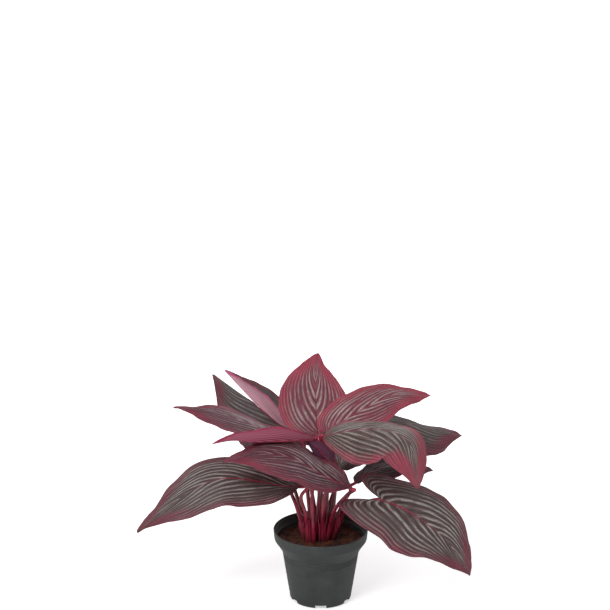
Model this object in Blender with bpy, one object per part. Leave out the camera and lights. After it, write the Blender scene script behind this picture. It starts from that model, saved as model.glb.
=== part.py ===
# Potted hosta: a nursery pot of potting mix with sixteen striped leaves on crimson stalks.
# X runs across the front, Y away from the front, Z up. The origin is the middle of the underside of the pot.
from math import cos, pi, radians, sin

import bmesh
import bpy
import numpy as np

MM = 0.001
GAP = 0.3  # mm between pieces that touch
SHEET = 0.9  # mm, thickness of a blade
ROWS, COLUMNS = 10, 8  # faces of a blade, along and across

# Nursery pot, mm
RIM_R, RIM_TOP, COLLAR_FOOT = 60.0, 93.0, 66.0
BODY_TOP_R, BODY_FOOT_R, FOOT_H = 49.0, 39.5, 5.0
WALL, FLOOR = 1.6, 7.0
SOIL_TOP, CROWN_TOP = 78.0, 81.5
SIDES = 48

# Half of a flat blade from the stalk to the tip: (share of the half width, share of the length)
HALF = [
    (0.035, 0), (0.10, 0.005), (0.31, 0.02), (0.58, 0.055), (0.82, 0.12), (0.965, 0.21), (1.0, 0.32),
    (0.94, 0.45), (0.80, 0.58), (0.61, 0.71), (0.39, 0.82), (0.19, 0.915), (0.075, 0.972), (0.015, 1),
]  # fmt: skip

# One blade: the line of its midrib and its half width, in mm. The rest are degrees and shares that run
# from the stalk to the tip: roll about the midrib, fold and curl of the left and right half, width of each
# half, and how far each lobe reaches back beside the stalk.
LEAVES = {
    "top": dict(
        rib=[(-3, 22, 209), (-5, 38, 223), (-6, 58, 242), (-6, 88, 265), (-3, 124, 288)],
        half=50, fold=((8, 10, 15), (8, 8, 12)), curl=((20, 10), (10, 0)), wave=2, lobe=(0.06, 0.06),
        width=((0.8, 1, 1, 1), (0.7, 1, 0.95, 0.75, 0.6, 0.8)),
        stalk=[(-2, 5), (-2, 11, 140), (-3, 17, 178)],
    ),
    "upper_right": dict(
        rib=[(10, 6, 217), (33, 18, 233), (58, 34, 243), (96, 54, 254), (143, 80, 244)],
        half=40, roll=(-22, -26), fold=((10, 5, 0), (6, 0, -5)), curl=((0,), (-15,)), wave=2,
        lobe=(0.06, 0.02), width=((1.0, 0.95, 0.75, 0.7, 0.75), (0.5, 0.8, 0.9, 1)),
        stalk=[(6, 3), (8, 6, 142), (9, 7, 183)],
    ),
    "right_back": dict(
        rib=[(19, 16, 204), (52, 26, 217), (94, 34, 223), (142, 42, 212), (182, 46, 201)],
        half=42, roll=(0, -5), fold=((5, -5, -5), (6, -10, -20)), curl=((-10,), (-20, -50)), wave=3,
        width=((0.5, 1, 0.9), (0.3, 0.8, 1.0, 1.4, 2.2, 1.5)),
        stalk=[(12, 7), (18, 10, 140), (19, 14, 173)],
    ),
    "right_front": dict(
        rib=[(2, -6, 219), (26, -21, 229), (57, -38, 239), (85, -52, 241), (105, -64, 231), (112, -74, 208),
             (115, -82, 178)],
        half=46, roll=(-20, -20, -15, -10), fold=((6, -20, -15), (6, -8, 0, 0)),
        curl=((-20, -25, -10), (-20, -15, -5, 0)), wave=1.5,
        width=((0.4, 0.8, 1.0, 1.2, 1.5), (0.15, 0.25, 0.5, 0.8, 1.1, 1.5, 1.9, 1.6, 1)),
        stalk=[(-6, -3), (-3, 0, 131), (2, 1, 188)], thick=(2.5, 1.6), lead=3,
    ),
    "lower_right": dict(
        rib=[(74, -42, 148), (99, -50, 141), (127, -58, 125), (155, -66, 103), (183, -72, 61)],
        half=46, roll=(-30, -32), fold=((6, 5, 10), (6, -5, -5)), curl=((-30, -25, 0), (-20, -20, 0)),
        wave=3, lobe=(0.28, 0.36), width=((1.1, 1.15, 1.25, 1.2), (1.25, 1.2, 1.05, 0.9)),
        stalk=[(16, -1), (29, -10, 119), (51, -26, 137)], lead=5,
    ),
    "lower_left": dict(
        rib=[(-22, -18, 157), (-45, -21, 158), (-78, -25, 166), (-113, -29, 172), (-143, -33, 167),
             (-177, -37, 147), (-205, -41, 125), (-228, -44, 106)],
        half=46, roll=(30, 28, 25), fold=((8, -12, -12, 0), (8, -8, -5, 5)), curl=((-20,), (-10,)), wave=3,
        width=((0.1, 0.3, 0.6, 0.85, 1, 1.05, 1), (0.1, 0.5, 0.85, 1, 1.1, 1.2, 1.4)),
        stalk=[(-16, -12), (-19, -14, 116), (-25, -17, 142)],
    ),
    "front": dict(
        rib=[(39, -46, 165), (17, -50, 176), (-5, -54, 189), (-26, -56, 204), (-50, -58, 213),
             (-77, -60, 216), (-99, -62, 212), (-119, -64, 206)],
        half=42, roll=(18, 15, 10), fold=((6, -20, -15), (6, -5, 0)), curl=((-20,), (-20,)), wave=2,
        width=((0.15, 0.3, 0.6, 0.95, 1.1, 1), (0.3, 0.6, 0.85, 1.1, 1.3)),
        stalk=[(9, -8), (16, -20, 123), (31, -36, 151)], lead=3,
    ),
    "left_folded": dict(
        rib=[(-8, -10, 217), (-26, -25, 221), (-53, -40, 225), (-81, -52, 228), (-107, -64, 234),
             (-131, -76, 234)],
        half=38, fold=((42, 48, 48), (6, -14, -14)), curl=((5,), (-10,)), wave=1,
        width=((0.15, 0.3, 0.55, 0.95, 1.15, 1.1), (0.3, 0.5, 0.7)),
        stalk=[(-9, -15), (-11, -9, 135), (-9, -3, 178)], lead=3,
    ),
    "left": dict(
        rib=[(-36, 0, 207), (-69, 3, 222), (-101, 7, 235), (-139, 12, 246), (-185, 16, 249)],
        half=40, fold=((6, -4, 0), (4, -12, -8)), curl=((-10,), (-5,)), wave=2,
        width=((0.4, 0.7, 0.8, 0.9), (0.4, 0.6, 1.0)),
        stalk=[(-20, -3), (-30, 6, 118), (-39, 12, 142), (-40, 6, 176)],
    ),
    "upper_left": dict(
        rib=[(-26, 28, 201), (-52, 42, 216), (-80, 58, 235), (-109, 73, 253), (-139, 86, 271)],
        half=44, roll=(10, 10), fold=((6, -2, 2), (-20, -45, -45)), curl=((-15,), (0,)), wave=2,
        width=((0.2, 0.35, 0.5, 0.9, 1.3), (0.15, 0.3, 0.5)),
        stalk=[(-11, 4), (-17, 11, 140), (-21, 20, 174)],
    ),
    "upper_left_folded": dict(
        rib=[(-29, 44, 199), (-55, 62, 213), (-78, 79, 229), (-101, 95, 247), (-125, 109, 269)],
        half=38, fold=((66, 72, 80), (10, 10, 15)), curl=((10,), (0,)), wave=1,
        width=((0.3, 0.45, 0.5, 0.7), (0.4, 0.9, 1.2)),
        stalk=[(-3, 13), (-12, 24, 135), (-21, 36, 168)],
    ),
    "young": dict(
        rib=[(13, -10, 181), (6, -17, 194), (-5, -18, 207), (-20, -13, 217)],
        half=15, roll=(-90,), fold=((25,), (25,)), curl=((25,), (25,)),
        stalk=[(2, -7), (3, -8, 127), (9, -9, 158)], thick=(3.0, 2.0),
    ),
    "right_low": dict(
        rib=[(42, 10, 151), (68, 20, 164), (95, 30, 168), (134, 40, 163), (167, 48, 146)],
        half=36, roll=(-5, -5), fold=((6, 0), (6, -10)), curl=((-10,), (-20,)), wave=2,
        width=((0.3, 0.6, 0.8), (0.3, 0.8, 1)),
        stalk=[(13, 14), (27, 12, 119), (37, 10, 138)],
    ),
    "back_right": dict(
        rib=[(23, 26, 163), (29, 50, 169), (39, 88, 167), (51, 126, 160), (63, 160, 142)],
        half=30, roll=(-20, 0), fold=((10,), (10,)), curl=((-20,), (-20,)), wave=2,
        stalk=[(6, 13), (13, 19, 123), (20, 23, 142)],
    ),
    "back": dict(
        rib=[(-3, 42, 187), (-10, 78, 194), (-21, 118, 197), (-32, 162, 185)],
        half=34, fold=((8,), (8,)), curl=((-20,), (-20,)), wave=2, lobe=(0.03, 0.03),
        stalk=[(-1, 21), (1, 30, 133), (-1, 38, 162)],
    ),
    "back_left": dict(
        rib=[(-42, 30, 179), (-65, 62, 181), (-87, 98, 179), (-107, 132, 172)],
        half=34, fold=((8,), (8,)), curl=((-20,), (-20,)), wave=2, lobe=(0.03, 0.03),
        stalk=[(-16, 15), (-29, 26, 121), (-38, 30, 152)],
    ),
}  # fmt: skip

# The stalks that a papery sheath wraps at the foot: height of the sheath in mm and the side it opens to
SHEATHS = {"young": (34, -100), "lower_left": (30, -160), "lower_right": (38, -30), "left": (26, 170)}


def material(name, colour, roughness, metallic=0.0):
    made = bpy.data.materials.new(name)
    made.use_nodes = True
    shader = made.node_tree.nodes["Principled BSDF"]
    shader.inputs["Base Color"].default_value = (*colour, 1)
    shader.inputs["Roughness"].default_value = roughness
    shader.inputs["Metallic"].default_value = metallic
    made.diffuse_color = (*colour, 1)
    return made


def spline(points, share):
    """A smooth line through the points, read at shares of it from 0 to 1."""
    points = np.asarray(points, float)
    spans = len(points) - 1
    at = np.clip(np.asarray(share, float), 0, 1) * spans
    i = np.minimum(at.astype(int), spans - 1)
    f = (at - i)[..., None]
    ends = np.vstack([2 * points[0] - points[1], points, 2 * points[-1] - points[-2]])
    a, b, c, d = ends[i], ends[i + 1], ends[i + 2], ends[i + 3]
    return 0.5 * (2 * b + (c - a) * f + (2 * a - 5 * b + 4 * c - d) * f**2 + (3 * b - a - 3 * c + d) * f**3)


def along(values, share):
    """Values spaced evenly from the stalk to the tip, read at shares of the way."""
    return np.interp(share, np.linspace(0, 1, len(values)), values) if len(values) > 1 else values[0] + 0 * share


class Blade:
    def __init__(self, rib, half, roll=(0,), fold=((0,), (0,)), curl=((0,), (0,)), wave=0, lobe=(0, 0),
                 width=((1,), (1,)), stalk=(), thick=(2.5, 2.0), lead=7):  # fmt: skip
        self.half, self.fold, self.curl, self.wave = half, fold, curl, wave
        self.lobe, self.width, self.thick, self.lead = lobe, width, thick, lead
        self.stalk = stalk
        self.line = spline(rib, np.linspace(0, 1, 81))
        steps = np.linalg.norm(np.diff(self.line, axis=0), axis=1)
        self.reach = np.concatenate([[0], np.cumsum(steps)])
        self.length = self.reach[-1]
        ahead = np.gradient(self.line, self.reach, axis=0)
        ahead /= np.linalg.norm(ahead, axis=1)[:, None]
        course = np.subtract(rib[-1], rib[0]) * (1, 1, 0)
        side = np.cross(course / np.linalg.norm(course), (0, 0, 1))
        right = side - (ahead @ side)[:, None] * ahead
        right /= np.linalg.norm(right, axis=1)[:, None]
        up = np.cross(right, ahead)
        turn = np.radians(along(roll, self.reach / self.length))[:, None] + np.zeros((81, 1))
        self.ahead = ahead
        self.right = right * np.cos(turn) + up * np.sin(turn)
        self.up = up * np.cos(turn) - right * np.sin(turn)

    def frame(self, y):
        """The midrib at this length from the stalk, and the directions ahead, right and up there."""
        inside = np.clip(y, 0, self.length)

        def read(values):
            return np.stack([np.interp(inside, self.reach, values[:, k]) for k in range(3)], -1)

        def unit(values):
            return values / np.linalg.norm(values, axis=-1, keepdims=True)

        ahead = unit(read(self.ahead))
        return read(self.line) + ahead * (y - inside)[..., None], ahead, unit(read(self.right)), unit(read(self.up))

    def point(self, side, row):
        """The sheet at side -1 (left margin) to 1 (right margin) and row 0 (stalk) to 1 (tip), in mm."""
        left, out = side < 0, np.abs(side)
        flat = spline(HALF, row)
        wide = np.where(left, along(self.width[0], row), along(self.width[1], row)) * self.half
        back = np.where(left, *self.lobe) * np.where(row < 0.42, np.sin(pi * np.minimum(row, 0.42) / 0.42) ** 2, 0)
        x = out * flat[..., 0] * wide
        y = ((row**1.5 * 0.97 + 0.03 * row) * (1 - out) + (flat[..., 1] - back) * out) * self.length
        rib, _, right, up = self.frame(y)
        share = np.clip(y / self.length, 0, 1)
        fold = np.radians(np.where(left, along(self.fold[0], share), along(self.fold[1], share)))
        curl = np.radians(np.where(left, along(self.curl[0], share), along(self.curl[1], share)))
        curl = np.where(np.abs(curl) < 1e-3, 1e-3, curl)
        end = fold + curl * x / self.half
        across = self.half / curl * (np.sin(end) - np.sin(fold))
        lift = self.half / curl * (np.cos(fold) - np.cos(end))
        lift = lift + self.wave * out**2 * np.sin(2 * pi * (3 * row + 0.37 * np.sign(side))) * np.clip(row * 6, 0, 1)
        return rib + right * (np.where(left, -1, 1) * across)[..., None] + up * lift[..., None]


def add(obj, look):
    bpy.context.collection.objects.link(obj)
    obj.data.materials.append(look)
    return obj


def make_blade(name, blade, look):
    """A grid laid on the blade and given the thickness of the sheet."""
    mesh = bpy.data.meshes.new(name)
    shape = bmesh.new()
    bmesh.ops.create_grid(shape, x_segments=COLUMNS, y_segments=ROWS, size=1)
    for vertex in shape.verts:
        side, row = np.array(vertex.co.x), np.array((vertex.co.y + 1) / 2)
        vertex.co = blade.point(side, row) * MM
    for face in shape.faces:
        face.smooth = True
    shape.to_mesh(mesh)
    shape.free()
    obj = add(bpy.data.objects.new(name, mesh), look)
    sheet = obj.modifiers.new("Sheet", "SOLIDIFY")
    sheet.thickness, sheet.offset = SHEET * MM, 0
    return obj


def stalk_line(blade):
    """From the crown to just under the foot of the blade."""
    foot, ahead, _, up = (value[0] for value in blade.frame(np.array([0.0])))
    under = foot - up * (blade.thick[1] + SHEET / 2 + 0.6)
    start = (*blade.stalk[0], CROWN_TOP + GAP + 1.1)
    return [start, *blade.stalk[1:], tuple(under - ahead * blade.lead), tuple(under - ahead * 0.9)]


def make_stalk(name, blade, look):
    """A round stalk that thins towards the blade, drawn as a curve with filled ends."""
    line = spline(stalk_line(blade), np.linspace(0, 1, 10))
    curve = bpy.data.curves.new(name, "CURVE")
    curve.dimensions, curve.use_fill_caps = "3D", True
    curve.bevel_depth, curve.bevel_resolution = blade.thick[0] * MM, 2
    path = curve.splines.new("POLY")
    path.points.add(len(line) - 1)
    path.use_smooth = True
    for i, (dot, place) in enumerate(zip(path.points, line)):
        dot.co = (*(place * MM), 1)
        dot.radius = 1 + (blade.thick[1] / blade.thick[0] - 1) * i / (len(line) - 1)
    return add(bpy.data.objects.new(name, curve), look)


def make_sheath(name, blade, height, opens, look):
    """A sleeve round the foot of a stalk, split down one side and lowest at the split."""
    mesh = bpy.data.meshes.new(name)
    shape = bmesh.new()
    bmesh.ops.create_grid(shape, x_segments=10, y_segments=4, size=1)
    path = spline(stalk_line(blade), np.linspace(0, 1, 200))
    way = np.gradient(path, axis=0)
    for vertex in shape.verts:
        angle = radians(opens + 180) + vertex.co.x * radians(140)
        top = height * (0.6 + 0.4 * cos(vertex.co.x * pi / 2))
        z = CROWN_TOP + GAP + 2.0 + top * (vertex.co.y + 1) / 2
        middle = np.array([np.interp(z, path[:, 2], path[:, k]) for k in range(3)])
        ahead = np.array([np.interp(z, path[:, 2], way[:, k]) for k in range(3)])
        ahead /= np.linalg.norm(ahead)
        across = np.array((cos(angle), sin(angle), 0))
        across -= ahead * (across @ ahead)
        across /= np.linalg.norm(across)
        vertex.co = (middle + across * (blade.thick[0] + 1.0)) * MM
    for face in shape.faces:
        face.smooth = True
    bmesh.ops.recalc_face_normals(shape, faces=shape.faces)
    shape.to_mesh(mesh)
    shape.free()
    obj = add(bpy.data.objects.new(name, mesh), look)
    wall = obj.modifiers.new("Wall", "SOLIDIFY")
    wall.thickness, wall.offset = 0.8 * MM, 0
    return obj


def make_turned(name, profile, look):
    """A solid of revolution about Z from a closed profile of (radius, height) in mm."""
    mesh = bpy.data.meshes.new(name)
    shape = bmesh.new()
    rings = []
    for radius, height in profile:
        if radius == 0:
            rings.append([shape.verts.new((0, 0, height * MM))])
            continue
        rings.append([
            shape.verts.new((radius * cos(2 * pi * k / SIDES) * MM, radius * sin(2 * pi * k / SIDES) * MM, height * MM))
            for k in range(SIDES)
        ])  # fmt: skip
    for low, high in zip(rings, rings[1:]):
        for k in range(SIDES):
            n = (k + 1) % SIDES
            corners = [low[k % len(low)], low[n % len(low)], high[n % len(high)], high[k % len(high)]]
            shape.faces.new(dict.fromkeys(corners)).smooth = True
    bmesh.ops.recalc_face_normals(shape, faces=shape.faces)
    shape.to_mesh(mesh)
    shape.free()
    return add(bpy.data.objects.new(name, mesh), look)


for old in list(bpy.data.objects):
    bpy.data.objects.remove(old)

pot_look = material("pot_plastic", (0.045, 0.052, 0.050), 0.45)
soil_look = material("potting_mix", (0.10, 0.045, 0.028), 0.95)
stalk_look = material("stalk", (0.30, 0.012, 0.035), 0.3)
leaf_look = material("leaf", (0.26, 0.17, 0.17), 0.55)
pink_look = material("leaf_underside", (0.50, 0.22, 0.28), 0.55)

# Pot: feet, tapered body, two fine rings, a deep collar that turns in underneath, and a stepped inside.
slope = (BODY_TOP_R - BODY_FOOT_R) / (COLLAR_FOOT - FOOT_H)
pot = make_turned("pot", [
    (0, 0), (BODY_FOOT_R - 2.5, 0), (BODY_FOOT_R - 0.6, 2), (BODY_FOOT_R, FOOT_H),
    (BODY_TOP_R, COLLAR_FOOT), (50.0, 67.6), (55.2, 75.5), (58.4, 79.5), (58.9, 80.5), (RIM_R, RIM_TOP - 1.0),
    (RIM_R - 0.6, RIM_TOP), (RIM_R - 2.2, RIM_TOP), (57.0, 84.0), (55.2, 83.2), (54.6, 79.0),
    (BODY_TOP_R - WALL, COLLAR_FOOT), (BODY_FOOT_R - WALL, FLOOR), (0, FLOOR),
], pot_look)  # fmt: skip

# Drain slots through the foot, one on each side, each as wide as the foot between two of them is not.
for number, turn in enumerate((-90, -30, 30, 90, 150, 210)):
    bpy.ops.mesh.primitive_cube_add(size=1, location=(39 * cos(radians(turn)) * MM, 39 * sin(radians(turn)) * MM, 0))
    slot = bpy.context.object
    slot.name = f"slot_cutter_{number}"
    slot.scale = (16 * MM, 13 * MM, 8 * MM)
    slot.rotation_euler[2] = radians(turn)
    slot.hide_render = True
    slot.display_type = "WIRE"
    cut = pot.modifiers.new(f"Slot {number}", "BOOLEAN")
    cut.operation, cut.solver, cut.object = "DIFFERENCE", "EXACT", slot

# Potting mix that fills the pot to a finger's width below the rim, and the crown that the stalks rise from.
make_turned("potting_mix", [
    (0, FLOOR + GAP), (BODY_FOOT_R - WALL - GAP - 0.2, FLOOR + GAP), (BODY_TOP_R - WALL - GAP, COLLAR_FOOT),
    (54.6 - GAP - 1.2, SOIL_TOP - 1.2), (46, SOIL_TOP - 1.6), (30, SOIL_TOP - 0.6), (0, SOIL_TOP),
], soil_look)  # fmt: skip
make_turned("crown", [
    (0, SOIL_TOP + GAP), (29, SOIL_TOP + GAP), (27, SOIL_TOP + 2), (24, CROWN_TOP), (0, CROWN_TOP),
], soil_look)  # fmt: skip

for name, shape in LEAVES.items():
    blade = Blade(**shape)
    folded = name in ("left_folded", "upper_left_folded", "young")
    make_blade("leaf_" + name, blade, pink_look if folded else leaf_look)
    make_stalk("stalk_" + name, blade, stalk_look)
    if name in SHEATHS:
        make_sheath("sheath_" + name, blade, *SHEATHS[name], stalk_look)
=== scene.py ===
import random
from math import cos, pi, radians, sin, tau

import bmesh
import bpy
import numpy as np
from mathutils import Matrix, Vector, noise


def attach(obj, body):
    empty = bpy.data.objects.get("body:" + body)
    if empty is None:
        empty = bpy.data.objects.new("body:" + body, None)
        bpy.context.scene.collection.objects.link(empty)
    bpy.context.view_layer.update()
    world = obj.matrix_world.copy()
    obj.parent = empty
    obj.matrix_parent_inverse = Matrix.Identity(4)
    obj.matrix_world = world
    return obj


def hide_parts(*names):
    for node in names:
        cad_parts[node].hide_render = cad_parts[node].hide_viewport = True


MM = 0.001
SHEET = 0.7  # mm, thickness of a blade
ROWS, COLUMNS = 112, 88  # faces of a blade, along and across
VEIN_STEP = 0.135  # share of the vein coordinate from one stripe to the next
VEIN_DEPTH = 0.42  # mm, half the height of the ribbing between two veins
VEIN_START = 4  # added to the vein coordinate in the UV map, which keeps it above zero
SOIL_UNDER = 71.0  # mm, where the top layer of the mix ends, out of sight
SOIL_R, SOIL_UNDER_R = 54.7, 52.0
CROWN_R, CROWN_RISE = 30, 2.2
CRUMBS, CRUMBS_R = 900, 54
STALK_FOOT, BURIED = 83.0, 9  # mm, where the stalks' routes start, and their length below that
LOWER_STEPS, UPPER_STEPS = 70, 46  # rings of a stalk up to the blade, and along the blade
SWELL = 1.22  # how much thicker a stalk's foot is than its listed thickness
SHEATH_FOOT = 76  # mm
OBJECT_PLACE = 3  # output of Texture Coordinate that holds the place on the object
MIX_SHARE, MIX_FIRST, MIX_SECOND, MIX_COLOUR = 0, 6, 7, 2  # sockets of a Mix node set to colours

RIM_R, RIM_TOP, COLLAR_FOOT = 60.0, 93.0, 66.0
BODY_TOP_R, BODY_FOOT_R, FOOT_H = 49.0, 39.5, 5.0
WALL, SOIL_TOP = 1.6, 78.0
SIDES = 144
SLOT_R = 38.5

# The floor's lift towards white for the camera: (distance from the pot in m, share of white)
LIFT_NEAR, LIFT_FAR = (0.08, 0.52), (0.7, 1.0)
WORLD_LIGHT, WORLD_SHOWN = 0.38, 1.0
# Place in m, side in m and power in W of each lamp
LAMPS = {
    "key": ((-0.9, -1.3, 1.6), 0.9, 22.0),
    "fill": ((1.5, -0.9, 0.9), 1.2, 4.5),
    "back": ((0.5, 1.4, 1.5), 1.0, 6.0),
}
LAMPS_AIM = (0, 0, 0.16)
CAMERA_PLACE, CAMERA_DOWN, CAMERA_LENS, CAMERA_SENSOR = (-0.0199, -1.8, 0.855), 14.62, 89.98, 36.0

# Half of a flat blade from the stalk to the tip: (share of the half width, share of the length)
HALF = [
    (0.035, 0), (0.10, 0.005), (0.31, 0.02), (0.58, 0.055), (0.82, 0.12), (0.965, 0.21), (1.0, 0.32),
    (0.94, 0.45), (0.80, 0.58), (0.61, 0.71), (0.39, 0.82), (0.19, 0.915), (0.075, 0.972), (0.015, 1),
]

# One blade: the line of its midrib and its half width, in mm. The rest are degrees and shares that run
# from the stalk to the tip: roll about the midrib, fold and curl of the left and right half, width of each
# half, and how far each lobe reaches back beside the stalk. The stalk's points are in mm too.
LEAVES = {
    "top": dict(
        look="rosy", rib=[(-3, 22, 209), (-5, 38, 223), (-6, 58, 242), (-6, 88, 265), (-3, 124, 288)],
        half=50, fold=((8, 10, 15), (8, 8, 12)), curl=((20, 10), (10, 0)), wave=2, lobe=(0.06, 0.06),
        width=((0.8, 1, 1, 1), (0.7, 1, 0.95, 0.75, 0.6, 0.8)),
        stalk=[(-2, 5), (-2, 11, 140), (-3, 17, 178)],
    ),
    "upper_right": dict(
        look="rosy", rib=[(10, 6, 217), (33, 18, 233), (58, 34, 243), (96, 54, 254), (143, 80, 244)],
        half=40, roll=(-22, -26), fold=((10, 5, 0), (6, 0, -5)), curl=((0,), (-15,)), wave=2,
        lobe=(0.06, 0.02), width=((1.0, 0.95, 0.75, 0.7, 0.75), (0.5, 0.8, 0.9, 1)),
        stalk=[(6, 3), (8, 6, 142), (9, 7, 183)],
    ),
    # Painted shade: this leaf lies in shadow behind the others and takes the darker copy of the grey look.
    "right_back": dict(
        look="shaded_grey", rib=[(19, 16, 204), (52, 26, 217), (94, 34, 223), (142, 42, 212), (182, 46, 201)],
        half=42, roll=(0, -5), fold=((5, -5, -5), (6, -10, -20)), curl=((-10,), (-20, -50)), wave=3,
        width=((0.5, 1, 0.9), (0.3, 0.8, 1.0, 1.4, 2.2, 1.5)),
        stalk=[(12, 7), (18, 10, 140), (19, 14, 173)],
    ),
    "right_front": dict(
        look="blush", rib=[(2, -6, 219), (26, -21, 229), (57, -38, 239), (85, -52, 241), (105, -64, 231),
                          (112, -74, 208), (115, -82, 178)],
        half=46, roll=(-20, -20, -20, -35), fold=((6, -20, -15), (6, -8, 0, 0)),
        curl=((-20, -25, -10), (-20, -15, -5, 0)), wave=1.5,
        width=((0.4, 0.8, 1.0, 1.3, 1.7), (0.15, 0.3, 0.6, 0.9, 1.2, 1.5, 1.8, 1.5, 1)),
        stalk=[(-6, -3), (-3, 0, 131), (2, 1, 188)], thick=(2.5, 1.6), lead=3,
    ),
    "lower_right": dict(
        look="grey", rib=[(74, -42, 148), (99, -50, 141), (127, -58, 125), (155, -66, 103), (183, -72, 61)],
        half=46, roll=(-30, -32), fold=((6, 5, 10), (6, -5, -5)), curl=((-30, -25, 0), (-20, -20, 0)),
        wave=3, lobe=(0.28, 0.36), width=((1.1, 1.15, 1.25, 1.2), (1.25, 1.2, 1.05, 0.9)),
        stalk=[(16, -1), (29, -10, 119), (51, -26, 137)], lead=5,
    ),
    "lower_left": dict(
        look="grey", rib=[(-22, -18, 157), (-45, -21, 158), (-78, -25, 166), (-113, -29, 172), (-143, -33, 167),
                          (-177, -37, 147), (-205, -41, 125), (-228, -44, 106)],
        half=46, roll=(30, 28, 25), fold=((8, -12, -12, 0), (8, -8, -5, 5)), curl=((-20,), (-10,)), wave=3,
        width=((0.1, 0.3, 0.6, 0.85, 1, 1.05, 1), (0.1, 0.5, 0.85, 1, 1.1, 1.2, 1.4)),
        stalk=[(-16, -12), (-19, -14, 116), (-25, -17, 142)],
    ),
    "front": dict(
        look="plum", rib=[(39, -46, 165), (17, -50, 176), (-5, -54, 189), (-26, -56, 204), (-50, -58, 213),
                          (-77, -60, 216), (-99, -62, 212), (-119, -64, 206)],
        half=42, roll=(18, 15, 10), fold=((6, -20, -15), (6, 2, 2)), curl=((-20,), (-16,)), wave=2,
        width=((0.15, 0.3, 0.6, 0.95, 1.1, 1), (0.4, 0.9, 1.15, 1.2, 1.3)),
        stalk=[(9, -8), (16, -20, 123), (31, -36, 151)], lead=3,
    ),
    "left_folded": dict(
        look="plum", rib=[(-8, -10, 217), (-26, -25, 221), (-53, -40, 225), (-81, -52, 228), (-107, -64, 234),
                          (-131, -76, 234)],
        half=38, fold=((42, 48, 48), (6, -14, -14)), curl=((5,), (-10,)), wave=1,
        width=((0.15, 0.3, 0.55, 0.95, 1.15, 1.1), (0.3, 0.5, 0.7)),
        stalk=[(-9, -15), (-11, -9, 135), (-9, -3, 178)], lead=3,
    ),
    "left": dict(
        look="plum", rib=[(-36, 0, 207), (-69, 3, 222), (-101, 7, 235), (-139, 12, 246), (-185, 16, 249)],
        half=40, fold=((6, -8, -6), (4, 0, 2)), curl=((-10,), (-5,)), wave=2,
        width=((0.5, 0.85, 1.05, 1.2), (0.4, 0.7, 1.0)),
        stalk=[(-20, -3), (-30, 6, 118), (-39, 12, 142), (-40, 6, 176)],
    ),
    # Painted shade: this leaf lies partly in the shadow of the folded leaf above it and takes the darker copy of
    # the grey look.
    "upper_left": dict(
        look="shaded_grey", rib=[(-26, 28, 201), (-52, 42, 216), (-80, 58, 235), (-109, 73, 253), (-139, 86, 271)],
        half=44, roll=(10, 10), fold=((6, -4, -8), (-20, -45, -45)), curl=((-15,), (0,)), wave=2,
        width=((0.2, 0.6, 1.1, 1.6, 2.0), (0.15, 0.3, 0.5)),
        stalk=[(-11, 4), (-17, 11, 140), (-21, 20, 174)],
    ),
    # Painted shade: the upper side of this leaf takes the darker copy of the grey look.
    "upper_left_folded": dict(
        look="shaded_grey", rib=[(-29, 44, 199), (-55, 62, 213), (-78, 79, 229), (-101, 95, 247), (-125, 109, 269)],
        half=38, fold=((66, 72, 80), (10, 10, 15)), curl=((10,), (0,)), wave=1,
        width=((0.4, 0.6, 0.75, 1.0), (0.5, 1.0, 1.4)),
        stalk=[(-3, 13), (-12, 24, 135), (-21, 36, 168)],
    ),
    # Painted shade: this leaf sits in the shade of the crown and takes darkened violet colours on both sides.
    "young": dict(
        look="shaded_bud", rib=[(13, -10, 181), (6, -17, 194), (-5, -18, 207), (-20, -13, 217)],
        half=15, roll=(-90,), fold=((25,), (25,)), curl=((25,), (25,)),
        stalk=[(2, -7), (3, -8, 127), (9, -9, 158)], thick=(3.0, 2.0),
    ),
    # Painted shade: this leaf lies in shadow under the others and takes the darker copy of the grey look.
    "right_low": dict(
        look="shaded_grey", rib=[(42, 10, 151), (68, 20, 164), (95, 30, 168), (125, 37, 162), (146, 43, 154)],
        half=36, roll=(-5, -5), fold=((6, 0), (6, -10)), curl=((-10,), (-20,)), wave=2,
        width=((0.3, 0.6, 0.8), (0.3, 0.8, 1)),
        stalk=[(13, 14), (27, 12, 119), (37, 10, 138)],
    ),
    "back_right": dict(
        look="grey", rib=[(23, 26, 163), (29, 50, 169), (39, 88, 167), (51, 126, 160), (63, 160, 142)],
        half=30, roll=(-20, 0), fold=((10,), (10,)), curl=((-20,), (-20,)), wave=2,
        stalk=[(6, 13), (13, 19, 123), (20, 23, 142)],
    ),
    "back": dict(
        look="grey", rib=[(-3, 42, 187), (-10, 78, 194), (-21, 118, 197), (-32, 162, 185)],
        half=34, fold=((8,), (8,)), curl=((-20,), (-20,)), wave=2, lobe=(0.03, 0.03),
        stalk=[(-1, 21), (1, 30, 133), (-1, 38, 162)],
    ),
    "back_left": dict(
        look="plum", rib=[(-42, 30, 179), (-65, 62, 181), (-87, 98, 179), (-107, 132, 172)],
        half=34, fold=((8,), (8,)), curl=((-20,), (-20,)), wave=2, lobe=(0.03, 0.03),
        stalk=[(-16, 15), (-29, 26, 121), (-38, 30, 152)],
    ),
}

# Height of each sheath above the crown in mm, and the way its split faces in degrees
SHEATHS = {"young": (34, -100), "lower_left": (30, -160), "lower_right": (38, -30), "left": (26, 170)}


def shade(text):
    """A colour written as in a paint chart, in the linear values that a shader takes."""
    parts = [int(text[k : k + 2], 16) / 255 for k in (0, 2, 4)]
    return (*[p / 12.92 if p <= 0.04045 else ((p + 0.055) / 1.055) ** 2.4 for p in parts], 1.0)


class Wire:
    """A socket of a shader that takes part in sums."""

    def __init__(self, look, socket):
        self.look, self.socket = look, socket

    def sum(self, kind, first, second):
        return self.look.node("ShaderNodeMath", {"operation": kind}, {0: first, 1: second})

    def __add__(self, other):
        return self.sum("ADD", self, other)

    def __radd__(self, other):
        return self.sum("ADD", other, self)

    def __sub__(self, other):
        return self.sum("SUBTRACT", self, other)

    def __rsub__(self, other):
        return self.sum("SUBTRACT", other, self)

    def __mul__(self, other):
        return self.sum("MULTIPLY", self, other)

    def __rmul__(self, other):
        return self.sum("MULTIPLY", other, self)


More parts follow.
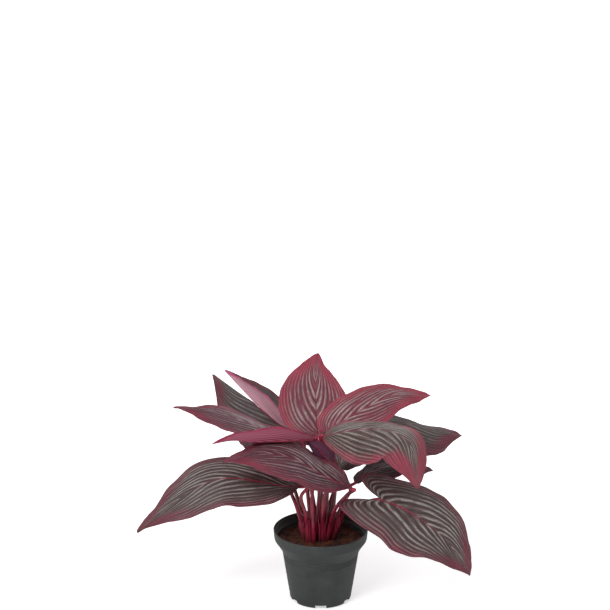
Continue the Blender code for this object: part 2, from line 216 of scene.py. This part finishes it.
class Look:
    """A material and the nodes that feed its Principled shader."""

    def __init__(self, name, roughness=0.5, **fixed):
        self.made = bpy.data.materials.new(name)
        self.made.use_nodes = True
        self.tree = self.made.node_tree
        self.shader = self.tree.nodes["Principled BSDF"]
        self.shader.inputs["Roughness"].default_value = roughness
        for socket, value in fixed.items():
            self.shader.inputs[socket.replace("_", " ")].default_value = value

    def node(self, kind, settings, values, out=0):
        made = self.tree.nodes.new(kind)
        for name, value in settings.items():
            setattr(made, name, value)
        for name, value in values.items():
            if isinstance(value, Wire):
                self.tree.links.new(value.socket, made.inputs[name])
            else:
                made.inputs[name].default_value = value
        return Wire(self, made.outputs[out])

    def feed(self, socket, wire):
        self.tree.links.new(wire.socket, self.shader.inputs[socket])

    def uv(self, name):
        spot = self.node("ShaderNodeUVMap", {"uv_map": name}, {})
        return self.parts(spot)[:2]

    def place(self):
        return self.node("ShaderNodeTexCoord", {}, {}, OBJECT_PLACE)

    def parts(self, where):
        return [self.node("ShaderNodeSeparateXYZ", {}, {0: where}, k) for k in (0, 1, 2)]

    def spot(self, x, y, z=0.0):
        return self.node("ShaderNodeCombineXYZ", {}, {0: x, 1: y, 2: z})

    def noise(self, where, scale, detail=3.0, rough=0.55):
        grain = {"Vector": where, "Scale": scale, "Detail": detail, "Roughness": rough}
        return self.node("ShaderNodeTexNoise", {}, grain)

    def ease(self, value, low, high, start=0.0, end=1.0):
        ends = {"From Min": low, "From Max": high, "To Min": start, "To Max": end}
        return self.node("ShaderNodeMapRange", {"interpolation_type": "SMOOTHSTEP"}, {"Value": value, **ends})

    def mix(self, share, first, second):
        colours = {MIX_SHARE: share, MIX_FIRST: first, MIX_SECOND: second}
        return self.node("ShaderNodeMix", {"data_type": "RGBA"}, colours, MIX_COLOUR)

    def one(self, kind, value):
        return self.node("ShaderNodeMath", {"operation": kind}, {0: value})

    def bump(self, height, depth, strength=1.0):
        relief = {"Strength": strength, "Distance": depth, "Height": height}
        self.feed("Normal", self.node("ShaderNodeBump", {}, relief))


def leaf_face(name, pale, middle, dark, edge, edge_from, seed, strength=1.0, tip=(0.62, 0.6)):
    """Upper side: soft pale streaks and thin dark lines along the veins, a crimson margin, tip and midrib."""
    look = Look(name, Coat_Weight=0.12, Coat_Roughness=0.35)
    vein, _ = look.uv("veins")
    across, row = look.uv("place")
    out = look.one("ABSOLUTE", across * 2.0 - 1.0)
    wander = look.noise(look.spot(vein * 5.0, row * 5.0, seed), 1.0) - 0.5
    streak = look.noise(look.spot(vein * 42.0, row * 9.0, seed + 5.0), 1.0, 5.0, 0.7) - 0.5
    fine = look.noise(look.spot(vein * 120.0, row * 14.0, seed + 3.0), 1.0, 3.0, 0.7) - 0.5
    broad = look.noise(look.spot(vein * 11.0, row * 3.5, seed + 14.0), 1.0, 3.0) - 0.5
    cloud = look.noise(look.spot(vein * 3.0, row * 4.0, seed + 9.0), 1.0, 2.0)
    band = look.one("SINE", vein * (tau / VEIN_STEP) + wander * 4.0)
    stripe = look.ease(band * 0.6 + broad * 5.0 + streak * 8.0 + fine * 5.0, -0.4, 1.1)
    fade = look.ease(cloud + broad * 0.7, 0.32, 0.58, 0.38 * strength, strength)
    line = look.ease(streak * 7.0 + fine * 6.0 + broad * 4.0 - band * 0.7, 0.1, 1.1, 0.0, 0.95)
    colour = look.mix(stripe * fade, shade(middle), shade(pale))
    colour = look.mix(line, colour, shade(dark))
    past = out + look.ease(row, tip[0], 1.0, 0.0, tip[1]) + wander * 0.6 + streak * 0.8 + broad * 0.6
    margin = look.ease(past, edge_from, 1.02)
    blush = look.mix(stripe * 0.22, shade(edge), shade(pale))
    rim = look.mix(line * 0.75, blush, shade(dark))
    colour = look.mix(margin * 0.94, colour, rim)
    rib = look.ease(out + look.ease(row, 0.0, 0.8, 0.0, 0.03), 0.016, 0.06, 0.8, 0.0)
    foot = look.ease(row + out * 0.3 + wander * 0.15, 0.03, 0.16, 0.85, 0.0)
    colour = look.mix(look.ease(rib + foot, 0.0, 1.0), colour, shade("8a2440"))
    look.feed("Base Color", colour)
    look.feed("Roughness", look.ease(streak, -0.4, 0.4, 0.62, 0.44))
    look.bump(stripe * 0.4 + streak, 0.0006, 0.5)
    return look.made


def leaf_back(name, pale, vein_colour, edge, seed):
    """Smooth underside: pale with faint veins and a stronger margin."""
    look = Look(name, 0.5)
    vein, _ = look.uv("veins")
    across, row = look.uv("place")
    out = look.one("ABSOLUTE", across * 2.0 - 1.0)
    streak = look.noise(look.spot(vein * 60.0, row * 7.0, seed), 1.0, 4.0, 0.6) - 0.5
    band = look.ease(look.one("SINE", vein * (tau / VEIN_STEP)) + streak * 1.4, -0.6, 1.0)
    colour = look.mix(band, shade(vein_colour), shade(pale))
    margin = look.ease(out + look.ease(row, 0.75, 1.0, 0.0, 0.5) + streak * 0.2, 0.82, 1.02)
    look.feed("Base Color", look.mix(margin, colour, shade(edge)))
    look.feed("Roughness", look.ease(streak, -0.4, 0.4, 0.6, 0.45))
    look.bump(band * 0.6 + streak * 0.6, 0.0006, 0.4)
    return look.made


def stalk_look():
    look = Look("stalk crimson", Coat_Weight=0.6, Coat_Roughness=0.18)
    where = look.place()
    x, y, z = look.parts(where)
    streak = look.noise(look.spot(x * 900.0, y * 900.0, z * 45.0), 1.0, 3.0)
    patch = look.noise(where, 38.0, 2.0)
    colour = look.mix(look.ease(patch, 0.38, 0.66), shade("7c1230"), shade("b52444"))
    colour = look.mix(look.ease(streak, 0.56, 0.74) * 0.55, colour, shade("d0617a"))
    colour = look.mix(look.ease(z, 0.078, 0.096, 0.75, 0.0), colour, shade("3d0f14"))
    look.feed("Base Color", colour)
    look.feed("Roughness", look.ease(streak, 0.3, 0.7, 0.22, 0.42))
    look.bump(streak, 0.0004, 0.35)
    return look.made


def sheath_look():
    look = Look("sheath", 0.4, Coat_Weight=0.2, Coat_Roughness=0.25)
    where = look.place()
    x, y, z = look.parts(where)
    streak = look.noise(look.spot(x * 700.0, y * 700.0, z * 30.0), 1.0, 4.0)
    colour = look.mix(look.ease(streak, 0.35, 0.7), shade("7c1830"), shade("b8445c"))
    look.feed("Base Color", look.mix(look.ease(z, 0.080, 0.098, 0.7, 0.0), colour, shade("4a2018")))
    look.bump(streak, 0.0004, 0.4)
    return look.made


def pot_look():
    look = Look("pot charcoal")
    where = look.place()
    grain = look.noise(where, 1900.0, 2.0)
    wear = look.noise(where, 42.0, 5.0, 0.65)
    colour = look.mix(look.ease(wear, 0.35, 0.75), shade("303534"), shade("3f4543"))
    look.feed("Base Color", colour)
    look.feed("Roughness", look.ease(wear, 0.3, 0.7, 0.40, 0.56))
    look.bump(grain, 0.0001, 0.4)
    return look.made


def soil_look():
    look = Look("potting mix", 0.95)
    where = look.place()
    crumb = look.noise(where, 420.0, 5.0, 0.7)
    patch = look.noise(where, 95.0, 4.0, 0.6)
    colour = look.mix(look.ease(patch, 0.35, 0.68), shade("34190f"), shade("6e3d26"))
    colour = look.mix(look.ease(crumb, 0.56, 0.78) * 0.7, colour, shade("9a6543"))
    colour = look.mix(look.ease(crumb, 0.30, 0.44, 0.8, 0.0), colour, shade("1c0e0a"))
    look.feed("Base Color", colour)
    look.bump(crumb + patch, 0.0022, 0.9)
    return look.made


def spline(points, share):
    """A smooth line through the points, read at shares of it from 0 to 1."""
    points = np.asarray(points, float)
    spans = len(points) - 1
    at = np.clip(np.asarray(share, float), 0, 1) * spans
    i = np.minimum(at.astype(int), spans - 1)
    f = (at - i)[..., None]
    ends = np.vstack([2 * points[0] - points[1], points, 2 * points[-1] - points[-2]])
    a, b, c, d = ends[i], ends[i + 1], ends[i + 2], ends[i + 3]
    return 0.5 * (2 * b + (c - a) * f + (2 * a - 5 * b + 4 * c - d) * f**2 + (3 * b - a - 3 * c + d) * f**3)


def along(values, share):
    """Values spaced evenly from the stalk to the tip, read at shares of the way."""
    return np.interp(share, np.linspace(0, 1, len(values)), values) if len(values) > 1 else values[0] + 0 * share


def vein_at(side, row):
    """The same on all of one vein, which leaves the midrib, runs beside it and ends near the tip."""
    return 0.55 * np.log(1 - np.minimum(row, 0.985)) - np.log(1 - 0.667 * np.abs(side))


class Blade:
    def __init__(self, rib, half, roll=(0,), fold=((0,), (0,)), curl=((0,), (0,)), wave=0, lobe=(0, 0),
                 width=((1,), (1,)), stalk=(), thick=(2.5, 2.0), lead=7, look="grey"):
        self.half, self.fold, self.curl, self.wave = half, fold, curl, wave
        self.lobe, self.width, self.thick, self.lead = lobe, width, thick, lead
        self.stalk, self.look = stalk, look
        self.line = spline(rib, np.linspace(0, 1, 161))
        steps = np.linalg.norm(np.diff(self.line, axis=0), axis=1)
        self.reach = np.concatenate([[0], np.cumsum(steps)])
        self.length = self.reach[-1]
        ahead = np.gradient(self.line, self.reach, axis=0)
        ahead /= np.linalg.norm(ahead, axis=1)[:, None]
        course = np.subtract(rib[-1], rib[0]) * (1, 1, 0)
        side = np.cross(course / np.linalg.norm(course), (0, 0, 1))
        right = side - (ahead @ side)[:, None] * ahead
        right /= np.linalg.norm(right, axis=1)[:, None]
        up = np.cross(right, ahead)
        turn = np.radians(along(roll, self.reach / self.length))[:, None] + np.zeros((161, 1))
        self.ahead = ahead
        self.right = right * np.cos(turn) + up * np.sin(turn)
        self.up = up * np.cos(turn) - right * np.sin(turn)

    def frame(self, y):
        """The midrib at this length from the stalk, and the directions ahead, right and up there."""
        inside = np.clip(y, 0, self.length)

        def read(values):
            return np.stack([np.interp(inside, self.reach, values[:, k]) for k in range(3)], -1)

        def unit(values):
            return values / np.linalg.norm(values, axis=-1, keepdims=True)

        ahead = unit(read(self.ahead))
        spot = read(self.line) + ahead * (y - inside)[..., None]
        return spot, ahead, unit(read(self.right)), unit(read(self.up))

    def point(self, side, row):
        """The sheet at side -1 (left margin) to 1 (right margin) and row 0 (stalk) to 1 (tip), in mm."""
        left, out = side < 0, np.abs(side)
        flat = spline(HALF, row)
        wide = np.where(left, along(self.width[0], row), along(self.width[1], row)) * self.half
        back = np.where(left, *self.lobe) * np.where(row < 0.42, np.sin(pi * np.minimum(row, 0.42) / 0.42) ** 2, 0)
        x = out * flat[..., 0] * wide
        y = ((row**1.5 * 0.97 + 0.03 * row) * (1 - out) + (flat[..., 1] - back) * out) * self.length
        rib, _, right, up = self.frame(y)
        share = np.clip(y / self.length, 0, 1)
        fold = np.radians(np.where(left, along(self.fold[0], share), along(self.fold[1], share)))
        curl = np.radians(np.where(left, along(self.curl[0], share), along(self.curl[1], share)))
        curl = np.where(np.abs(curl) < 1e-3, 1e-3, curl)
        end = fold + curl * x / self.half
        across = self.half / curl * (np.sin(end) - np.sin(fold))
        lift = self.half / curl * (np.cos(fold) - np.cos(end))
        calm = np.clip(row * 6, 0, 1) * np.clip((1 - row) * 5, 0.25, 1)
        lift = lift + self.wave * out**2 * np.sin(2 * pi * (3 * row + 0.37 * np.sign(side))) * calm
        lift = lift + 0.25 * self.wave * out**4 * np.sin(2 * pi * (8.3 * row + 0.21 * np.sign(side))) * calm
        ribbing = VEIN_DEPTH * np.cos(2 * pi * vein_at(side, row) / VEIN_STEP) * np.clip(out * 8, 0, 1)
        groove = 0.7 * np.exp(-((x / 1.4) ** 2))
        lift = lift + ribbing * calm * np.clip(x / 10, 0, 1) - groove
        return rib + right * (np.where(left, -1, 1) * across)[..., None] + up * lift[..., None]


def deselect():
    for other in bpy.context.selected_objects:
        other.select_set(False)


def only(obj):
    deselect()
    obj.select_set(True)
    bpy.context.view_layer.objects.active = obj


def apply_all(obj):
    only(obj)
    for modifier in list(obj.modifiers):
        bpy.ops.object.modifier_apply(modifier=modifier.name)


def build(name, shape, look):
    """A new object from the shape, with its faces turned outwards."""
    bmesh.ops.recalc_face_normals(shape, faces=shape.faces)
    mesh = bpy.data.meshes.new(name)
    shape.to_mesh(mesh)
    shape.free()
    obj = bpy.data.objects.new(name, mesh)
    bpy.context.collection.objects.link(obj)
    mesh.materials.append(look)
    return obj


def ring_at(shape, radius, count, height):
    """Points round the pot's axis, or one on it where the radius is 0. Height is found from x and y, all in mm."""
    turns = [tau * k / count for k in range(count if radius else 1)]
    spots = [(radius * cos(turn), radius * sin(turn)) for turn in turns]
    return [shape.verts.new((x * MM, y * MM, height(x, y) * MM)) for x, y in spots]


def join_rings(shape, rings, count, smooth=False):
    """Faces from each ring to the next. A ring may be a single point."""
    for low, high in zip(rings, rings[1:]):
        for k in range(count):
            n = (k + 1) % count
            corners = [low[k % len(low)], low[n % len(low)], high[n % len(high)], high[k % len(high)]]
            shape.faces.new(dict.fromkeys(corners)).smooth = smooth


def finish_piece(obj, slot, *nodes):
    """Moves the piece with the plant and hides these nodes, which it stands for."""
    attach(obj, "root")
    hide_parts(*nodes)


def make_blade(name, blade, face, back, slot):
    """A flat grid whose points are set on the blade, with its wall and a material on each side."""
    deselect()
    bpy.ops.mesh.primitive_grid_add(x_subdivisions=COLUMNS, y_subdivisions=ROWS, size=2)
    obj = bpy.context.object
    obj.name = "blade_" + name
    mesh = obj.data
    flat = np.empty(len(mesh.vertices) * 3)
    mesh.vertices.foreach_get("co", flat)
    side, row = flat[0::3], (flat[1::3] + 1) / 2
    mesh.vertices.foreach_set("co", (blade.point(side, row) * MM).ravel())
    corners = np.empty(len(mesh.loops), int)
    mesh.loops.foreach_get("vertex_index", corners)
    for old in list(mesh.uv_layers):
        mesh.uv_layers.remove(old)
    for layer, u in (("place", (side + 1) / 2), ("veins", vein_at(side, row) + VEIN_START)):
        made = mesh.uv_layers.new(name=layer)
        made.data.foreach_set("uv", np.stack([u, row], -1)[corners].ravel())
    mesh.materials.append(face)
    mesh.materials.append(back)
    sheet = obj.modifiers.new("Sheet", "SOLIDIFY")
    sheet.thickness, sheet.offset = SHEET * MM, 0
    sheet.material_offset, sheet.material_offset_rim = 1, 0
    apply_all(obj)
    bpy.ops.object.shade_smooth()
    finish_piece(obj, slot, "leaf_" + name)


def stalk_path(blade):
    """From inside the potting mix to the blade, then on along its underside as the keel of the midrib."""
    foot, ahead, _, up = (value[0] for value in blade.frame(np.array([0.0])))
    under = foot - up * (blade.thick[1] * 0.75 + SHEET / 2)
    start = np.array([*blade.stalk[0], STALK_FOOT])
    after = np.array(blade.stalk[1])
    root = start - (after - start) / np.linalg.norm(after - start) * BURIED
    way = [root, start, *map(np.array, blade.stalk[1:]), under - ahead * blade.lead, under + ahead]
    share = np.linspace(0, 1, LOWER_STEPS)
    lower = spline(way, share)
    y = np.linspace(6, blade.length * 0.72, UPPER_STEPS)
    rib, _, _, lift = blade.frame(y)
    radius = np.linspace(blade.thick[1] * 0.9, 0.35, UPPER_STEPS)
    upper = rib - lift * (radius * 0.45 + SHEET / 2 + 0.5)[:, None]
    foot_r, top_r = blade.thick[0] * SWELL, blade.thick[1]
    lower_r = np.interp(share, (0, 0.1, 0.45, 1), (foot_r * 1.12, foot_r, top_r * 1.16, top_r))
    return np.vstack([lower, upper]), np.concatenate([lower_r, radius])


def make_tube(name, path, radius, look, sides=18):
    """A rod along a path, with a slightly uneven round section and closed ends."""
    shape = bmesh.new()
    way = np.gradient(path, axis=0)
    way /= np.linalg.norm(way, axis=1)[:, None]
    across = np.array((1.0, 0.0, 0.0))
    rings = []
    for centre, ahead, r in zip(path, way, radius):
        across = across - ahead * (across @ ahead)
        across /= np.linalg.norm(across)
        third = np.cross(ahead, across)
        ring = []
        for k in range(sides):
            angle = tau * k / sides
            r_here = r * (1 + 0.05 * cos(3 * angle) + 0.03 * cos(5 * angle + 1))
            outward = across * cos(angle) + third * sin(angle)
            ring.append(shape.verts.new(Vector((centre + r_here * outward) * MM)))
        rings.append(ring)
    join_rings(shape, rings, sides, smooth=True)
    shape.faces.new(rings[0][::-1])
    shape.faces.new(rings[-1])
    return build(name, shape, look)


def make_sheath(name, blade, height, opens, look):
    """A thin sleeve round the foot of a stalk, split down one side, with a notched and flared lip."""
    deselect()
    bpy.ops.mesh.primitive_grid_add(x_subdivisions=40, y_subdivisions=24, size=2)
    obj = bpy.context.object
    obj.name = "sleeve_" + name
    path, _ = stalk_path(blade)
    path = path[:LOWER_STEPS]
    way = np.gradient(path, axis=0)
    for vertex in obj.data.vertices:
        angle = radians(opens + 180) + vertex.co.x * radians(158)
        top = height * (0.55 + 0.45 * cos(vertex.co.x * pi / 2)) + 1.2 * sin(vertex.co.x * 9)
        climb = (vertex.co.y + 1) / 2
        z = SHEATH_FOOT + (top + STALK_FOOT - SHEATH_FOOT) * climb
        middle = np.array([np.interp(z, path[:, 2], path[:, k]) for k in range(3)])
        ahead = np.array([np.interp(z, path[:, 2], way[:, k]) for k in range(3)])
        ahead /= np.linalg.norm(ahead)
        across = np.array((cos(angle), sin(angle), 0))
        across -= ahead * (across @ ahead)
        across /= np.linalg.norm(across)
        flare = 0.9 * climb**3 + 0.7 * (1 - climb) + 0.25 * sin(angle * 7)
        radius = blade.thick[0] * SWELL + 1.0 + flare
        vertex.co = (middle + across * radius) * MM
    obj.data.materials.append(look)
    wall = obj.modifiers.new("Wall", "SOLIDIFY")
    wall.thickness, wall.offset = 0.6 * MM, 0
    soft = obj.modifiers.new("Soft", "SUBSURF")
    soft.levels = soft.render_levels = 1
    apply_all(obj)
    bpy.ops.object.shade_smooth()
    finish_piece(obj, "stalk", "sheath_" + name)


def make_turned(name, profile, look):
    """A shape with the same outline all round, from (radius, height) pairs in mm."""
    shape = bmesh.new()
    rings = [ring_at(shape, radius, SIDES, lambda x, y: height) for radius, height in profile]
    join_rings(shape, rings, SIDES)
    return build(name, shape, look)


def make_pot(look):
    """Slotted foot, tapered body with fine rings, deep collar, rolled lip and stepped inside."""
    slope = (BODY_TOP_R - BODY_FOOT_R) / (COLLAR_FOOT - FOOT_H)

    def body(z):
        return BODY_FOOT_R + slope * (z - FOOT_H)

    rings = []
    for z in (56.0, 59.0, 62.0):
        groove = body(z) - 0.5
        rings += [(body(z - 0.7), z - 0.7), (groove, z - 0.3), (groove, z + 0.3), (body(z + 0.7), z + 0.7)]
    inside = []
    for z in (90.0, 87.6, 85.2):
        lean = (90 - z) * 0.12
        inside += [(57.9 - lean, z + 0.5), (57.2 - lean, z), (57.9 - lean, z - 0.5)]
    pot = make_turned("nursery_pot", [
        (0, 3.0), (30, 3.0), (31, 0.2), (BODY_FOOT_R - 3.2, 0), (BODY_FOOT_R - 1.6, 0.5), (BODY_FOOT_R - 0.4, 2.2),
        (BODY_FOOT_R, FOOT_H), (body(20), 20), (body(40), 40), *rings, (body(65), 65), (49.6, 66.4), (50.4, 67.6),
        (53.0, 72.0), (55.6, 76.0), (57.8, 79.0), (58.6, 80.4), (58.9, 81.6), (59.5, 87.0),
        (RIM_R - 0.25, RIM_TOP - 1.6), (RIM_R, RIM_TOP - 0.9), (RIM_R - 0.35, RIM_TOP - 0.2),
        (RIM_R - 0.9, RIM_TOP), (RIM_R - 1.6, RIM_TOP - 0.1), (RIM_R - 2.0, RIM_TOP - 0.8),
        *inside, (56.8, 83.4), (55.2, 82.4), (54.8, 79.0), (52.6, 73.0),
        (BODY_TOP_R - WALL, COLLAR_FOOT), (BODY_FOOT_R - WALL, 7.0), (0, 7.0),
    ], look)
    for turn in (-90, -30, 30, 90, 150, 210):
        deselect()
        place = (SLOT_R * cos(radians(turn)) * MM, SLOT_R * sin(radians(turn)) * MM, 0)
        bpy.ops.mesh.primitive_cube_add(size=1, location=place, rotation=(0, 0, radians(turn)))
        slot = bpy.context.object
        slot.scale = (18 * MM, 14 * MM, 9 * MM)
        cut = pot.modifiers.new("Slot", "BOOLEAN")
        cut.operation, cut.solver, cut.object = "DIFFERENCE", "EXACT", slot
        apply_all(pot)
        bpy.data.objects.remove(slot)
    only(pot)
    bpy.ops.object.shade_smooth_by_angle(angle=radians(38))
    finish_piece(pot, "pot_plastic", "pot")


def make_soil(look):
    """The top of the mix: a low uneven mound, with crumbs and short fibres strewn over it."""
    around, out = 150, 44
    shape = bmesh.new()

    def height(x, y):
        r = (x * x + y * y) ** 0.5
        swell = noise.noise(Vector((x, y, 3.0)) * 0.06) * 2.2 + noise.noise(Vector((x, y, 9.0)) * 0.23) * 1.1
        fine = noise.noise(Vector((x, y, 1.0)) * 0.9) * 0.55
        return SOIL_TOP + CROWN_RISE * (1 - (r / CROWN_R) ** 2 if r < CROWN_R else 0) + swell + fine - 0.4

    rings = [ring_at(shape, SOIL_R * i / out, around, height) for i in range(out + 1)]
    rings += [ring_at(shape, radius, around, lambda x, y: SOIL_UNDER) for radius in (SOIL_UNDER_R, 0)]
    join_rings(shape, rings, around, smooth=True)
    pick = random.Random(7)
    for _ in range(CRUMBS):
        r, turn = CRUMBS_R * pick.random() ** 0.5, tau * pick.random()
        x, y = r * cos(turn), r * sin(turn)
        spot = Vector((x, y, height(x, y) + 0.2)) * MM
        fibre = pick.random() < 0.3
        size = pick.uniform(0.4, 1.3)
        made = bmesh.ops.create_icosphere(shape, subdivisions=1, radius=size * MM)["verts"]
        if fibre:
            stretch = Vector((pick.uniform(2.5, 5.5), 0.35, 0.35))
        else:
            stretch = Vector((1, pick.uniform(0.6, 1.2), 0.6))
        a, tilt = tau * pick.random(), pick.uniform(-0.5, 0.5)
        for vertex in made:
            p = Vector(c * s for c, s in zip(vertex.co, stretch))
            p = Vector((p.x * cos(tilt) - p.z * sin(tilt), p.y, p.x * sin(tilt) + p.z * cos(tilt)))
            vertex.co = spot + Vector((p.x * cos(a) - p.y * sin(a), p.x * sin(a) + p.y * cos(a), p.z))
    finish_piece(build("mix_top", shape, look), "potting_mix", "crown", "potting_mix")


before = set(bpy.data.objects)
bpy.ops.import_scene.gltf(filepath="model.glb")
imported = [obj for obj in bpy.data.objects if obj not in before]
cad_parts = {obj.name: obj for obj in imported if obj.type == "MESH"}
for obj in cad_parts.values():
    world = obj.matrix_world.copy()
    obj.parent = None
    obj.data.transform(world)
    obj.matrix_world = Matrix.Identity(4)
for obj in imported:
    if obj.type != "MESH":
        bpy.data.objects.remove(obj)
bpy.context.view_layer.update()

FACES = {
    "rosy": leaf_face("leaf rosy", "beb0ad", "84384a", "58202e", "b2304e", 0.54, 1.0, tip=(0.58, 0.62)),
    "grey": leaf_face("leaf grey", "b4ada8", "533e3d", "2d1f20", "7c223c", 0.66, 11.0),
    "blush": leaf_face("leaf blush", "b0a8a3", "5f4a47", "33211f", "a8344f", 0.62, 17.0, tip=(0.5, 0.66)),
    "plum": leaf_face("leaf plum", "b3a4a6", "632c3a", "34161f", "8c2541", 0.56, 23.0),
    # Painted shade: a darker copy of the grey look, with dimmer and fewer pale streaks and a narrower margin, for
    # leaves that lie in shadow.
    "shaded_grey": leaf_face("leaf dusky", "8d8583", "4e3f3e", "2a1f21", "762238", 0.74, 37.0, 0.85),
    # Painted shade: dark violet leaf colours, darkened as if in shade, for the young leaf in the middle of the
    # crown.
    "shaded_bud": leaf_face("leaf bud", "7a4a62", "5e2a45", "43182f", "8a2347", 0.7, 51.0),
}
BACKS = {
    "pink": leaf_back("underside pink", "dca6b4", "c98a9c", "cf5a86", 3.0),
    "rose": leaf_back("underside rose", "c9748c", "a84866", "bd2f5a", 7.0),
    "plain": leaf_back("underside mauve", "b98792", "9d6473", "b04060", 13.0),
    # Painted shade: the pink underside darkened to violet for the young leaf in the shade of the crown.
    "shaded_bud": leaf_back("underside shaded violet", "7c4560", "56213f", "8a2347", 19.0),
}
stalks = stalk_look()
sleeves = sheath_look()

SHOWN_BACKS = {"young": "shaded_bud", "left_folded": "rose", "upper_left_folded": "pink"}
for name, shape in LEAVES.items():
    blade = Blade(**shape)
    back = BACKS[SHOWN_BACKS.get(name, "plain")]
    slot = "leaf_underside" if name in SHOWN_BACKS else "leaf"
    make_blade(name, blade, FACES[blade.look], back, slot)
    path, radius = stalk_path(blade)
    rod = make_tube("stem_" + name, path, radius, stalks)
    finish_piece(rod, "stalk", "stalk_" + name)
    if name in SHEATHS:
        make_sheath(name, blade, *SHEATHS[name], sleeves)
make_pot(pot_look())
make_soil(soil_look())


def make_stage():
    """A plain pale floor, a backdrop that reads as white, and broad soft lamps."""
    deselect()
    bpy.ops.mesh.primitive_plane_add(size=80, location=(0, 0, -0.0002))
    floor = bpy.context.object
    floor.name = "floor"
    look = Look("floor", 0.9, Base_Color=(0.9, 0.9, 0.9, 1), Emission_Strength=1.0)
    reach = look.node("ShaderNodeVectorMath", {"operation": "LENGTH"}, {0: look.place()}, 1)
    seen = look.node("ShaderNodeLightPath", {}, {}, 0)
    lift = look.ease(reach, LIFT_NEAR[0], LIFT_FAR[0], LIFT_NEAR[1], LIFT_FAR[1]) * seen
    look.feed("Emission Color", look.mix(lift, (0, 0, 0, 1), (1, 1, 1, 1)))
    floor.data.materials.append(look.made)

    world = bpy.data.worlds.new("studio")
    world.use_nodes = True
    bpy.context.scene.world = world
    tree = world.node_tree
    sky = tree.nodes["Background"]
    sky.inputs["Color"].default_value = (1, 1, 1, 1)
    seen = tree.nodes.new("ShaderNodeLightPath")
    level = tree.nodes.new("ShaderNodeMapRange")
    level.inputs["To Min"].default_value = WORLD_LIGHT
    level.inputs["To Max"].default_value = WORLD_SHOWN
    tree.links.new(seen.outputs["Is Camera Ray"], level.inputs["Value"])
    tree.links.new(level.outputs[0], sky.inputs["Strength"])

    for name, (place, size, power) in LAMPS.items():
        light = bpy.data.lights.new(name, "AREA")
        light.energy, light.size = power, size
        lamp = bpy.data.objects.new(name, light)
        bpy.context.collection.objects.link(lamp)
        lamp.location = place
        lamp.rotation_euler = (Vector(LAMPS_AIM) - Vector(place)).to_track_quat("-Z", "Y").to_euler()

    eye = bpy.data.cameras.new("camera")
    eye.lens, eye.sensor_width = CAMERA_LENS, CAMERA_SENSOR
    camera = bpy.data.objects.new("camera", eye)
    bpy.context.collection.objects.link(camera)
    camera.location = CAMERA_PLACE
    camera.rotation_euler = (radians(90 - CAMERA_DOWN), 0, 0)
    bpy.context.scene.camera = camera
    bpy.context.scene.view_settings.view_transform = "Standard"


make_stage()
